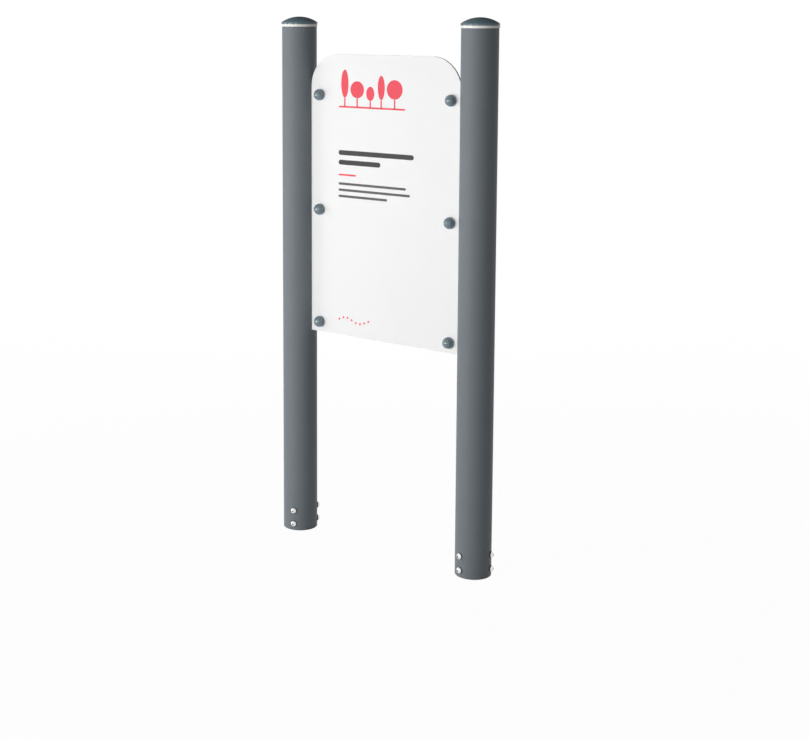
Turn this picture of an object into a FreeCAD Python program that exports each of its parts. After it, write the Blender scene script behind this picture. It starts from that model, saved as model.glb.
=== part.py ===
import FreeCAD, Part
import math
import operator
import os

import Sketcher
from FreeCAD import Placement, Rotation, Vector

# A sign of two round posts with a flat board bolted between them.
# Millimetres. X runs from the left post to the right post as seen from the front, the front
# faces -Y, and Z is up. The origin is on the ground, midway between the posts.

DIMENSIONS = {
    # Posts
    "post_spacing": 618,
    "post_diameter": 101.6,
    "post_wall": 3,
    "post_length": 1509,
    # Post caps: a collar with a skirt in the tube, and a dome with a plug in the collar
    "collar_overhang": 2.1,
    "collar_height": 8.2,
    "collar_edge_radius": 0.8,
    "skirt_depth": 25,
    "skirt_wall": 2.5,
    "skirt_clearance": 0.2,
    "dome_lip_height": 3.7,
    "dome_rise": 16.7,
    "dome_wall": 3,
    "plug_depth": 6,
    "plug_wall": 2,
    "plug_clearance": 0.2,
    # Footings inside the posts: a sleeve on a plate
    "sleeve_clearance": 0.4,
    "sleeve_wall": 4,
    "sleeve_top_distance": 59,
    "plate_thickness": 8,
    "anchor_circle_diameter": 56,
    "anchor_hole_diameter": 13,
    # Screws that hold each post to its sleeve, in columns round the post and rows up it
    "screw_low_height": 20.5,
    "screw_row_pitch": 40.5,
    "screw_turn_angle": 15,
    "screw_diameter": 10,
    "screw_hole_clearance": 0.5,
    "screw_head_diameter": 17.5,
    "screw_head_height": 5.5,
    "screw_crown_diameter": 8,
    "screw_socket_width": 6,
    "screw_socket_depth": 3.1,
    "screw_end_length": 2,
    "saddle_diameter": 18.5,
    "saddle_thickness": 2,
    "saddle_hole_clearance": 0.3,
    "weld_nut_width": 16,
    "weld_nut_height": 8,
    "thread_clearance": 0.05,
    # Board: a plastic core between two metal skins
    "board_top_distance": 77.6,
    "board_height": 816,
    "board_corner_radius": 95.5,
    "board_post_clearance": 0.3,
    "core_thickness": 5,
    "skin_thickness": 0.5,
    # Bolts that hold the board to the lugs, in rows up each side
    "bolt_edge_distance": 31.9,
    "bolt_top_distance": 117.9,
    "bolt_bottom_distance": 29.4,
    "bolt_diameter": 8,
    "board_hole_clearance": 1,
    "bolt_head_diameter": 14,
    "bolt_head_height": 4.4,
    "bolt_crown_diameter": 7,
    "bolt_socket_width": 5,
    "bolt_socket_depth": 2.6,
    # Covers over the bolt heads: a seat under each head, and a domed cap round the seat
    "seat_thickness": 3.2,
    "seat_hole_clearance": 0.3,
    "seat_edge_clearance": 0.4,
    "bolt_cap_diameter": 32.9,
    "bolt_cap_wall": 1.3,
    "bolt_cap_seat_clearance": 0.4,
    "bolt_cap_head_clearance": 10.75,
    # Washers and dome nuts behind the lugs
    "rear_washer_diameter": 16,
    "rear_washer_thickness": 1.6,
    "rear_washer_clearance": 0.2,
    "dome_nut_width": 13,
    "dome_nut_hexagon_height": 6.5,
    "dome_nut_neck_height": 1.5,
    "dome_nut_crown_inset": 0.5,
    "dome_nut_crown_rise": 4.5,
    "dome_nut_crown_wall": 2.5,
    "dome_nut_end_clearance": 1,
    # Lugs welded to the posts
    "lug_thickness": 4,
    "lug_height": 50,
    "lug_bolt_margin": 20,
    "lug_corner_radius": 12,
    "lug_hole_clearance": 0.5,
}

SHEET_NAME = "Dimensions"
PARTS_FOLDER = "parts"
SIDES = {"left": -1, "right": 1}
BOLT_ROWS = ("bottom", "middle", "top")
SCREW_COLUMNS = 3
SCREW_ROWS = 2
FULL_TURN = 360
POINT_TOLERANCE = 1e-6
FAILED_STATES = {"Invalid", "Error"}

ARITHMETIC = {
    "+": operator.add,
    "-": operator.sub,
    "*": operator.mul,
    "/": operator.truediv,
}


class Size:
    """A size in two forms: its number now, and its formula on the sheet."""

    def __init__(self, number, formula):
        self.number = number
        self.formula = formula

    def __add__(self, other):
        return combine(self, "+", other)

    def __sub__(self, other):
        return combine(self, "-", other)

    def __mul__(self, other):
        return combine(self, "*", other)

    def __truediv__(self, other):
        return combine(self, "/", other)

    def __neg__(self):
        return combine(self, "*", -1)


def plain(number):
    """Give a bare number the form of a size."""
    return Size(number, f"({number})")


def combine(first, sign, second):
    """Work out a size from two others, as a number and as a formula."""
    if not isinstance(second, Size):
        second = plain(second)
    number = ARITHMETIC[sign](first.number, second.number)
    return Size(number, f"({first.formula} {sign} {second.formula})")


def size(name):
    """Give one of the driving dimensions as a size."""
    return Size(DIMENSIONS[name], f"{SHEET_NAME}.{name}")


def square_root(area):
    """Take the square root of a size."""
    return Size(math.sqrt(area.number), f"sqrt({area.formula})")


def ball_radius(half_width, rise):
    """Give the radius of the ball that a dome of a half width and a rise is cut from."""
    return (half_width * half_width + rise * rise) / (rise * 2)


def ball_height(radius, across):
    """Give how far above its centre a ball's surface lies, some way across."""
    return square_root(radius * radius - across * across)


NOTHING = plain(0)
QUARTER_TURN = plain(90)
HALF_TURN = plain(180)

# Posts and what fits in them, as radii from a post's centre line
POST_RADIUS = size("post_diameter") / 2
TUBE_BORE_RADIUS = POST_RADIUS - size("post_wall")
SKIRT_RADIUS = TUBE_BORE_RADIUS - size("skirt_clearance")
COLLAR_RADIUS = POST_RADIUS + size("collar_overhang")
COLLAR_BORE_RADIUS = SKIRT_RADIUS - size("skirt_wall")
PLUG_RADIUS = COLLAR_BORE_RADIUS - size("plug_clearance")
PLUG_BORE_RADIUS = PLUG_RADIUS - size("plug_wall")
SLEEVE_RADIUS = TUBE_BORE_RADIUS - size("sleeve_clearance")
SLEEVE_BORE_RADIUS = SLEEVE_RADIUS - size("sleeve_wall")
SCREW_SEAT_RADIUS = POST_RADIUS + size("saddle_thickness")
SCREW_CROWN_RADIUS = SCREW_SEAT_RADIUS + size("screw_head_height")
NUT_FACE_RADIUS = SLEEVE_BORE_RADIUS - size("weld_nut_height")
SCREW_TIP_RADIUS = NUT_FACE_RADIUS - size("screw_end_length")

# Screws, and the sleeve that reaches past their top row
SHANK_RADIUS = size("screw_diameter") / 2
SCREW_ROWS_SPAN = size("screw_row_pitch") * (SCREW_ROWS - 1)
SLEEVE_TOP = size("screw_low_height") + SCREW_ROWS_SPAN + size("sleeve_top_distance")
SLEEVE_HEIGHT = SLEEVE_TOP - size("plate_thickness")

# Board and its bolts
BOARD_THICKNESS = size("core_thickness") + size("skin_thickness") * 2
BOARD_HALF_WIDTH = size("post_spacing") / 2 - POST_RADIUS - size("board_post_clearance")
BOARD_BOTTOM = size("post_length") - size("board_top_distance") - size("board_height")
LUG_FACE = size("lug_thickness") / 2
BOARD_FACE = LUG_FACE + BOARD_THICKNESS
BOLT_RADIUS = size("bolt_diameter") / 2
BOLT_OFFSET = BOARD_HALF_WIDTH - size("bolt_edge_distance")
BOLT_SPAN = size("board_height") - size("bolt_bottom_distance") - size("bolt_top_distance")
BOLT_PITCH = BOLT_SPAN / (len(BOLT_ROWS) - 1)

# Heights along a bolt, out from the board's front face
BOLT_CROWN = size("seat_thickness") + size("bolt_head_height")
LUG_BACK = -(BOARD_THICKNESS + size("lug_thickness"))
NUT_TOP = LUG_BACK - size("rear_washer_thickness")
NUT_NECK = NUT_TOP - size("dome_nut_hexagon_height")
NUT_CROWN = NUT_NECK - size("dome_nut_neck_height")
NUT_APEX = NUT_CROWN - size("dome_nut_crown_rise")
NUT_BORE_END = NUT_APEX + size("dome_nut_crown_wall")
BOLT_TIP = NUT_BORE_END + size("dome_nut_end_clearance")


def make_sheet(doc):
    """Write the driving dimensions into the document's sheet, each with its name."""
    sheet = doc.addObject("Spreadsheet::Sheet", SHEET_NAME)
    for row, (name, number) in enumerate(DIMENSIONS.items(), start=1):
        sheet.set(f"A{row}", name)
        sheet.set(f"B{row}", str(number))
        sheet.setAlias(f"B{row}", name)


def bind(item, name, value):
    """Tie a property of an object to the sheet."""
    item.setExpression(name, value.formula)


def new_body(doc, label):
    """Start a sub-part. Its label names its file, and it may hold several like solids."""
    body = doc.addObject("PartDesign::Body", label)
    body.Label = label
    body.AllowCompound = True
    return body


def origin_part(body, role):
    """Find one of the body's own origin planes or axes."""
    return [item for item in body.Origin.OriginFeatures if item.Role == role][0]


def new_sketch(body, name, role, lift=NOTHING, slide=NOTHING):
    """Start a sketch on an origin plane, lifted off the plane or slid up along it."""
    sketch = body.newObject("Sketcher::SketchObject", name)
    sketch.AttachmentSupport = [(origin_part(body, role), "")]
    sketch.MapMode = "FlatFace"
    bind(sketch, "AttachmentOffset.Base.z", lift)
    bind(sketch, "AttachmentOffset.Base.y", slide)
    return sketch


def dimension(sketch, constraint, value):
    """Add a constraint whose value comes from the sheet."""
    index = sketch.addConstraint(constraint)
    sketch.setExpression(f"Constraints[{index}]", value.formula)


def place_point(sketch, item, point, across, up):
    """Dimension a point of the sketch from the sketch's origin."""
    for kind, value, axis in (("DistanceX", across, -2), ("DistanceY", up, -1)):
        if value is NOTHING:
            sketch.addConstraint(Sketcher.Constraint("PointOnObject", item, point, axis))
        elif value is not None:
            constraint = Sketcher.Constraint(kind, -1, 1, item, point, value.number)
            dimension(sketch, constraint, value)


def draw_circle(sketch, radius, across=NOTHING, up=NOTHING):
    """Draw a circle with its centre and radius dimensioned."""
    centre = Vector(across.number, up.number)
    circle = sketch.addGeometry(Part.Circle(centre, Vector(0, 0, 1), radius.number))
    place_point(sketch, circle, 3, across, up)
    dimension(sketch, Sketcher.Constraint("Radius", circle, radius.number), radius)


def arc_between(first, last, across, up):
    """Make the short arc between two points, whose centre is known across or up."""
    middle = (first + last) / 2
    side = last - first
    towards_centre = Vector(-side.y, side.x)
    if across is not None:
        distance = (across.number - middle.x) / towards_centre.x
    else:
        distance = (up.number - middle.y) / towards_centre.y
    centre = middle + towards_centre * distance
    outwards = (middle - centre).normalize()
    return Part.Arc(first, centre + outwards * (first - centre).Length, last)


def draw_side(sketch, first, last, arc_centre):
    """Draw one side of an outline and return it with its first and its last point."""
    if arc_centre is None:
        return sketch.addGeometry(Part.LineSegment(first, last)), 1, 2
    item = sketch.addGeometry(arc_between(first, last, *arc_centre))
    place_point(sketch, item, 3, *arc_centre)
    if sketch.getPoint(item, 1).distanceToPoint(first) < POINT_TOLERANCE:
        return item, 1, 2
    return item, 2, 1


def draw_outline(sketch, corners, arc_centres=None):
    """Draw a closed outline through dimensioned corners.

    Its sides are straight, apart from those that arc_centres names by the number of their
    first corner. It gives an arc's centre across and up, one of them None, because the
    arc's two ends settle that one.
    """
    arc_centres = arc_centres or {}
    points = [Vector(across.number, up.number) for across, up in corners]
    sides = []
    for number, first in enumerate(points):
        last = points[(number + 1) % len(points)]
        sides.append(draw_side(sketch, first, last, arc_centres.get(number)))
    for number, (item, first_point, _) in enumerate(sides):
        previous_item, _, previous_point = sides[number - 1]
        meeting = Sketcher.Constraint(
            "Coincident", previous_item, previous_point, item, first_point
        )
        sketch.addConstraint(meeting)
        place_point(sketch, item, first_point, *corners[number])


def draw_hexagon(sketch, width):
    """Draw a hexagon of a width across flats, with two corners on the vertical axis."""
    corner_radius = width / math.sqrt(3)
    half_width = width / 2
    corners = [
        (NOTHING, corner_radius),
        (-half_width, corner_radius / 2),
        (-half_width, corner_radius / -2),
        (NOTHING, -corner_radius),
        (half_width, corner_radius / -2),
        (half_width, corner_radius / 2),
    ]
    draw_outline(sketch, corners)


def extrude(body, kind, name, sketch, length, centred, backwards):
    """Raise or cut a sketch by a length."""
    feature = body.newObject(kind, name)
    feature.Profile = sketch
    feature.SideType = "Symmetric" if centred else "One side"
    feature.Reversed = backwards
    bind(feature, "Length", length)
    return feature


def pad(body, name, sketch, length, centred=False, backwards=False):
    """Raise a sketch into a solid, along the sketch's normal unless backwards."""
    return extrude(body, "PartDesign::Pad", name, sketch, length, centred, backwards)


def pocket(body, name, sketch, length, centred=False, backwards=True):
    """Cut a sketch out of the solid, along the sketch's normal if backwards."""
    return extrude(body, "PartDesign::Pocket", name, sketch, length, centred, backwards)


def revolve(body, name, sketch, axis="V_Axis"):
    """Turn a sketch all the way round one of its own axes."""
    feature = body.newObject("PartDesign::Revolution", name)
    feature.Profile = sketch
    feature.ReferenceAxis = (sketch, [axis])
    feature.Angle = FULL_TURN
    return feature


def spread_rows(body, name, count, span):
    """Set out a row of copies up the sub-part."""
    rows = body.newObject("PartDesign::LinearPattern", name)
    rows.Direction = (origin_part(body, "Z_Axis"), [""])
    rows.Occurrences = count
    bind(rows, "Length", span)
    return rows


def spread_columns(body, name, count):
    """Set out copies evenly round the sub-part's vertical axis."""
    columns = body.newObject("PartDesign::PolarPattern", name)
    columns.Axis = (origin_part(body, "Z_Axis"), [""])
    columns.Angle = FULL_TURN
    columns.Occurrences = count
    return columns


def repeat(body, name, features, transformations):
    """Repeat features by several patterns at once."""
    pattern = body.newObject("PartDesign::MultiTransform", name)
    pattern.Originals = features
    pattern.Transformations = transformations
    body.Tip = pattern


def repeat_on_screws(body, features):
    """Repeat the features at the first screw for every row and column of screws."""
    rows = spread_rows(body, "ScrewRows", SCREW_ROWS, SCREW_ROWS_SPAN)
    columns = spread_columns(body, "ScrewColumns", SCREW_COLUMNS)
    repeat(body, "ScrewPattern", features, [rows, columns])


def place(body, base, axis=Vector(0, 0, 1), turn=NOTHING):
    """Put a sub-part in its place in the sign, turned about an axis."""
    # A rotation keeps its axis only while its angle isn't nothing
    body.Placement = Placement(Vector(0, 0, 0), Rotation(axis, turn.number or FULL_TURN / 2))
    for name, value in zip("xyz", base):
        bind(body, f"Placement.Base.{name}", value)
    bind(body, "Placement.Rotation.Angle", turn)


def post_across(side):
    """Give how far across a post's centre line stands."""
    return size("post_spacing") / 2 * SIDES[side]


def place_on_post(body, side, height=NOTHING):
    """Put a round sub-part on its post, turned so that the two posts' screws mirror."""
    turn = size("screw_turn_angle")
    if side == "left":
        turn = HALF_TURN - turn
    place(body, (post_across(side), NOTHING, height), turn=turn)


def round_bar(body, name, sketch, length, radius, bore_radius=None):
    """Raise a disc, or a tube where there is a bore, along the sketch's normal."""
    draw_circle(sketch, radius)
    if bore_radius is not None:
        draw_circle(sketch, bore_radius)
    return pad(body, name, sketch, length)


def cut_screw_holes(body):
    """Cut a hole for each screw, from the centre line out through one wall."""
    sketch = new_sketch(body, "ScrewHole", "YZ_Plane", slide=size("screw_low_height"))
    draw_circle(sketch, SHANK_RADIUS + size("screw_hole_clearance"))
    repeat_on_screws(body, [pocket(body, "ScrewHoleCut", sketch, size("post_diameter"))])


def make_post_tube(doc, side):
    """The tube of a post, with its screw holes near the ground."""
    body = new_body(doc, f"{side}_post_tube")
    section = new_sketch(body, "TubeSection", "XY_Plane")
    round_bar(body, "Tube", section, size("post_length"), POST_RADIUS, TUBE_BORE_RADIUS)
    cut_screw_holes(body)
    place_on_post(body, side)
    return body


def make_footing_sleeve(doc, side):
    """The tube inside the foot of a post, which the post slides over."""
    body = new_body(doc, f"{side}_footing_sleeve")
    section = new_sketch(body, "SleeveSection", "XY_Plane", lift=size("plate_thickness"))
    round_bar(body, "Sleeve", section, SLEEVE_HEIGHT, SLEEVE_RADIUS, SLEEVE_BORE_RADIUS)
    cut_screw_holes(body)
    place_on_post(body, side)
    return body


def make_footing_plate(doc, side):
    """The disc under a sleeve, with anchor holes that lie between the columns of screws."""
    body = new_body(doc, f"{side}_footing_plate")
    section = new_sketch(body, "PlateSection", "XY_Plane")
    round_bar(body, "Plate", section, size("plate_thickness"), SLEEVE_RADIUS)
    hole = new_sketch(body, "AnchorHole", "XY_Plane")
    draw_circle(hole, size("anchor_hole_diameter") / 2, size("anchor_circle_diameter") / -2)
    hole_cut = pocket(body, "AnchorHoleCut", hole, size("plate_thickness"))
    holes = spread_columns(body, "AnchorColumns", SCREW_COLUMNS)
    repeat(body, "AnchorHoles", [hole_cut], [holes])
    place_on_post(body, side)
    return body


def make_base_screws(doc, side):
    """The button-head screws that hold a post to its sleeve."""
    body = new_body(doc, f"{side}_base_screws")
    row = size("screw_low_height")
    profile = new_sketch(body, "ScrewProfile", "XZ_Plane", slide=row)
    corners = [
        (SCREW_TIP_RADIUS, NOTHING),
        (SCREW_CROWN_RADIUS, NOTHING),
        (SCREW_CROWN_RADIUS, size("screw_crown_diameter") / 2),
        (SCREW_SEAT_RADIUS, size("screw_head_diameter") / 2),
        (SCREW_SEAT_RADIUS, SHANK_RADIUS),
        (SCREW_TIP_RADIUS, SHANK_RADIUS),
    ]
    draw_outline(profile, corners, {2: (None, NOTHING)})
    screw = revolve(body, "Screw", profile, "H_Axis")
    socket = new_sketch(body, "SocketHexagon", "YZ_Plane", SCREW_CROWN_RADIUS, row)
    draw_hexagon(socket, size("screw_socket_width"))
    depth = size("screw_socket_depth")
    socket_cut = pocket(body, "Socket", socket, depth, backwards=False)
    repeat_on_screws(body, [screw, socket_cut])
    place_on_post(body, side)
    return body


def make_base_washers(doc, side):
    """The washers under the base screws, hollowed to sit on the round post."""
    body = new_body(doc, f"{side}_base_washers")
    row = size("screw_low_height")
    section = new_sketch(body, "WasherSection", "YZ_Plane", TUBE_BORE_RADIUS, row)
    hole_radius = SHANK_RADIUS + size("saddle_hole_clearance")
    length = SCREW_SEAT_RADIUS - TUBE_BORE_RADIUS
    washer = round_bar(body, "Washer", section, length, size("saddle_diameter") / 2, hole_radius)
    repeat_on_screws(body, [washer])
    hollow = new_sketch(body, "PostCircle", "XY_Plane")
    draw_circle(hollow, POST_RADIUS)
    pocket(body, "Hollow", hollow, SLEEVE_TOP)
    place_on_post(body, side)
    return body


def make_base_nuts(doc, side):
    """The nuts welded inside the sleeve, rounded on the side that meets it."""
    body = new_body(doc, f"{side}_base_nuts")
    row = size("screw_low_height")
    section = new_sketch(body, "NutSection", "YZ_Plane", NUT_FACE_RADIUS, row)
    draw_hexagon(section, size("weld_nut_width"))
    draw_circle(section, SHANK_RADIUS + size("thread_clearance"))
    nut = pad(body, "Nut", section, size("weld_nut_height"))
    repeat_on_screws(body, [nut])
    sleeve = new_sketch(body, "SleeveCircles", "XY_Plane")
    draw_circle(sleeve, POST_RADIUS)
    draw_circle(sleeve, SLEEVE_BORE_RADIUS)
    pocket(body, "RoundedSide", sleeve, SLEEVE_TOP)
    place_on_post(body, side)
    return body


def make_cap_collar(doc, side):
    """The ring on top of a post, with a skirt that fits in the tube."""
    body = new_body(doc, f"{side}_cap_collar")
    profile = new_sketch(body, "CollarProfile", "XZ_Plane")
    edge = size("collar_edge_radius")
    top = size("collar_height")
    skirt_end = -size("skirt_depth")
    edge_centre = (COLLAR_RADIUS - edge, None)
    corners = [
        (SKIRT_RADIUS, skirt_end),
        (SKIRT_RADIUS, NOTHING),
        (COLLAR_RADIUS - edge, NOTHING),
        (COLLAR_RADIUS, edge),
        (COLLAR_RADIUS, top - edge),
        (COLLAR_RADIUS - edge, top),
        (COLLAR_BORE_RADIUS, top),
        (COLLAR_BORE_RADIUS, skirt_end),
    ]
    draw_outline(profile, corners, {2: edge_centre, 4: edge_centre})
    revolve(body, "Collar", profile)
    place_on_post(body, side, size("post_length"))
    return body


def make_cap_dome(doc, side):
    """The dome on top of a collar, with a plug that fits in the collar."""
    body = new_body(doc, f"{side}_cap_dome")
    profile = new_sketch(body, "DomeProfile", "XZ_Plane")
    lip = size("dome_lip_height")
    apex = lip + size("dome_rise")
    outer_ball = ball_radius(COLLAR_RADIUS, size("dome_rise"))
    inner_ball = outer_ball - size("dome_wall")
    plug_end = -size("plug_depth")
    inner_edge = apex - outer_ball + ball_height(inner_ball, PLUG_BORE_RADIUS)
    corners = [
        (COLLAR_RADIUS, NOTHING),
        (COLLAR_RADIUS, lip),
        (NOTHING, apex),
        (NOTHING, apex - size("dome_wall")),
        (PLUG_BORE_RADIUS, inner_edge),
        (PLUG_BORE_RADIUS, plug_end),
        (PLUG_RADIUS, plug_end),
        (PLUG_RADIUS, NOTHING),
    ]
    draw_outline(profile, corners, {1: (NOTHING, None), 3: (NOTHING, None)})
    revolve(body, "Dome", profile)
    place_on_post(body, side, size("post_length") + size("collar_height"))
    return body


def bolt_height(row):
    """Give the height of a row of bolts."""
    lowest = BOARD_BOTTOM + size("bolt_bottom_distance")
    return lowest + BOLT_PITCH * BOLT_ROWS.index(row)


def make_lug(doc, side, row):
    """The flat lug that is welded to a post and carries the board at one bolt."""
    body = new_body(doc, f"{side}_{row}_lug")
    outline = new_sketch(body, "LugOutline", "XZ_Plane")
    bolt_across = size("post_spacing") / 2 - BOLT_OFFSET
    end = bolt_across + size("lug_bolt_margin")
    top = size("lug_height") / 2
    corner = size("lug_corner_radius")
    corner_centre = (end - corner, None)
    corners = [
        (TUBE_BORE_RADIUS, -top),
        (end - corner, -top),
        (end, corner - top),
        (end, top - corner),
        (end - corner, top),
        (TUBE_BORE_RADIUS, top),
    ]
    draw_outline(outline, corners, {1: corner_centre, 3: corner_centre})
    draw_circle(outline, BOLT_RADIUS + size("lug_hole_clearance"), bolt_across)
    pad(body, "Lug", outline, size("lug_thickness"), centred=True)
    post_circle = new_sketch(body, "PostCircle", "XY_Plane")
    draw_circle(post_circle, POST_RADIUS)
    pocket(body, "HollowEnd", post_circle, size("lug_height"), centred=True)
    facing = NOTHING if side == "left" else HALF_TURN
    place(body, (post_across(side), NOTHING, bolt_height(row)), turn=facing)
    return body


def make_board_sheet(doc, label, thickness, back_face):
    """One sheet of the board, with round top corners and a hole for each bolt."""
    body = new_body(doc, label)
    outline = new_sketch(body, "SheetOutline", "XZ_Plane")
    top = size("board_height")
    corner = size("board_corner_radius")
    corner_across = BOARD_HALF_WIDTH - corner
    corners = [
        (-BOARD_HALF_WIDTH, NOTHING),
        (BOARD_HALF_WIDTH, NOTHING),
        (BOARD_HALF_WIDTH, top - corner),
        (corner_across, top),
        (-corner_across, top),
        (-BOARD_HALF_WIDTH, top - corner),
    ]
    draw_outline(outline, corners, {2: (corner_across, None), 4: (-corner_across, None)})
    pad(body, "Sheet", outline, thickness)
    hole = new_sketch(body, "BoltHole", "XZ_Plane", slide=size("bolt_bottom_distance"))
    draw_circle(hole, BOLT_RADIUS + size("board_hole_clearance"), BOLT_OFFSET)
    hole_cut = pocket(body, "BoltHoleCut", hole, thickness)
    rows = spread_rows(body, "BoltRows", len(BOLT_ROWS), BOLT_SPAN)
    mirror = body.newObject("PartDesign::Mirrored", "OtherSide")
    mirror.MirrorPlane = (origin_part(body, "YZ_Plane"), [""])
    repeat(body, "BoltHoles", [hole_cut], [rows, mirror])
    place(body, (NOTHING, -back_face, BOARD_BOTTOM))
    return body


def make_board(doc):
    """The board's three sheets, from the back to the front."""
    skin = size("skin_thickness")
    core = size("core_thickness")
    return [
        make_board_sheet(doc, "board_back_skin", skin, LUG_FACE),
        make_board_sheet(doc, "board_core", core, LUG_FACE + skin),
        make_board_sheet(doc, "board_front_skin", skin, LUG_FACE + skin + core),
    ]


def place_on_bolt(body, side, row):
    """Put a sub-part on a bolt's centre line, its own Z out from the board's front face."""
    base = (BOLT_OFFSET * SIDES[side], -BOARD_FACE, bolt_height(row))
    place(body, base, Vector(1, 0, 0), QUARTER_TURN)


def make_board_bolt(doc, side, row):
    """The button-head bolt that clamps the board to a lug."""
    body = new_body(doc, f"{side}_{row}_board_bolt")
    profile = new_sketch(body, "BoltProfile", "XZ_Plane")
    under_head = size("seat_thickness")
    corners = [
        (NOTHING, BOLT_TIP),
        (BOLT_RADIUS, BOLT_TIP),
        (BOLT_RADIUS, under_head),
        (size("bolt_head_diameter") / 2, under_head),
        (size("bolt_crown_diameter") / 2, BOLT_CROWN),
        (NOTHING, BOLT_CROWN),
    ]
    draw_outline(profile, corners, {3: (NOTHING, None)})
    revolve(body, "Bolt", profile)
    socket = new_sketch(body, "SocketHexagon", "XY_Plane", BOLT_CROWN)
    draw_hexagon(socket, size("bolt_socket_width"))
    pocket(body, "Socket", socket, size("bolt_socket_depth"), backwards=False)
    place_on_bolt(body, side, row)
    return body


def make_cap_seat(doc, side, row):
    """The plastic ring under a bolt's head, which the bolt cap fits round."""
    body = new_body(doc, f"{side}_{row}_cap_seat")
    section = new_sketch(body, "SeatSection", "XY_Plane")
    cap_bore_radius = size("bolt_cap_diameter") / 2 - size("bolt_cap_wall")
    seat_radius = cap_bore_radius - size("seat_edge_clearance")
    hole_radius = BOLT_RADIUS + size("seat_hole_clearance")
    round_bar(body, "Seat", section, size("seat_thickness"), seat_radius, hole_radius)
    place_on_bolt(body, side, row)
    return body


def make_bolt_cap(doc, side, row):
    """The domed cover over a bolt's head, of even wall."""
    body = new_body(doc, f"{side}_{row}_bolt_cap")
    profile = new_sketch(body, "CapProfile", "XZ_Plane")
    rim_radius = size("bolt_cap_diameter") / 2
    wall = size("bolt_cap_wall")
    bore_radius = rim_radius - wall
    lip = size("seat_thickness") + size("bolt_cap_seat_clearance")
    rise = size("bolt_head_height") + size("bolt_cap_head_clearance") + wall
    apex = lip + rise
    outer_ball = ball_radius(rim_radius, rise)
    inner_edge = apex - outer_ball + ball_height(outer_ball - wall, bore_radius)
    corners = [
        (rim_radius, NOTHING),
        (rim_radius, lip),
        (NOTHING, apex),
        (NOTHING, apex - wall),
        (bore_radius, inner_edge),
        (bore_radius, NOTHING),
    ]
    draw_outline(profile, corners, {1: (NOTHING, None), 3: (NOTHING, None)})
    revolve(body, "Cap", profile)
    place_on_bolt(body, side, row)
    return body


def make_rear_washer(doc, side, row):
    """The flat washer behind a lug."""
    body = new_body(doc, f"{side}_{row}_rear_washer")
    section = new_sketch(body, "WasherSection", "XY_Plane", NUT_TOP)
    radius = size("rear_washer_diameter") / 2
    hole_radius = BOLT_RADIUS + size("rear_washer_clearance")
    round_bar(body, "Washer", section, size("rear_washer_thickness"), radius, hole_radius)
    place_on_bolt(body, side, row)
    return body


def make_dome_nut(doc, side, row):
    """The nut behind a lug, closed by a dome over the bolt's end."""
    body = new_body(doc, f"{side}_{row}_dome_nut")
    hexagon = new_sketch(body, "NutHexagon", "XY_Plane", NUT_NECK)
    draw_hexagon(hexagon, size("dome_nut_width"))
    pad(body, "Hexagon", hexagon, size("dome_nut_hexagon_height"))
    profile = new_sketch(body, "CrownProfile", "XZ_Plane")
    crown_radius = size("dome_nut_width") / 2 - size("dome_nut_crown_inset")
    corners = [
        (NOTHING, NUT_TOP),
        (crown_radius, NUT_TOP),
        (crown_radius, NUT_CROWN),
        (NOTHING, NUT_APEX),
    ]
    draw_outline(profile, corners, {2: (NOTHING, None)})
    revolve(body, "Crown", profile)
    bore = new_sketch(body, "BoreCircle", "XY_Plane", NUT_BORE_END)
    draw_circle(bore, BOLT_RADIUS + size("thread_clearance"))
    pocket(body, "Bore", bore, NUT_TOP - NUT_BORE_END)
    place_on_bolt(body, side, row)
    return body


POST_MAKERS = (
    make_post_tube,
    make_footing_sleeve,
    make_footing_plate,
    make_base_screws,
    make_base_washers,
    make_base_nuts,
    make_cap_collar,
    make_cap_dome,
)

BOLT_MAKERS = (
    make_lug,
    make_cap_seat,
    make_board_bolt,
    make_bolt_cap,
    make_rear_washer,
    make_dome_nut,
)


def make_sign(doc):
    """Make every sub-part of the sign."""
    parts = make_board(doc)
    for side in SIDES:
        parts += [make(doc, side) for make in POST_MAKERS]
        for row in BOLT_ROWS:
            parts += [make(doc, side, row) for make in BOLT_MAKERS]
    return parts


def check(doc, parts):
    """Stop if any object failed, or a sub-part has no sound solid."""
    for item in doc.Objects:
        if FAILED_STATES & set(item.State):
            raise RuntimeError(f"{item.Name} failed: {item.State}")
    for part in parts:
        if part.Shape.isNull() or not part.Shape.isValid() or not part.Shape.Solids:
            raise RuntimeError(f"{part.Label} has no sound solid")


def main():
    doc = FreeCAD.newDocument("ParkSign")
    make_sheet(doc)
    parts = make_sign(doc)
    doc.recompute()
    check(doc, parts)
    os.makedirs(PARTS_FOLDER, exist_ok=True)
    for part in parts:
        part.Shape.exportStep(os.path.join(PARTS_FOLDER, f"{part.Label}.step"))
        solids = len(part.Shape.Solids)
        volume = part.Shape.Volume
        print(f"{part.Label}: {solids} solids, {volume:.1f} cubic millimetres")


main()
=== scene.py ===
"""Visible pieces, finishes and studio of a park interpretation sign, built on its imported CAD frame.

Metres, in the CAD frame: X from the left post to the right post, the front faces -Y, Z is up.
"""

import math

import bmesh
import bpy
from mathutils import Matrix, Vector


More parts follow.
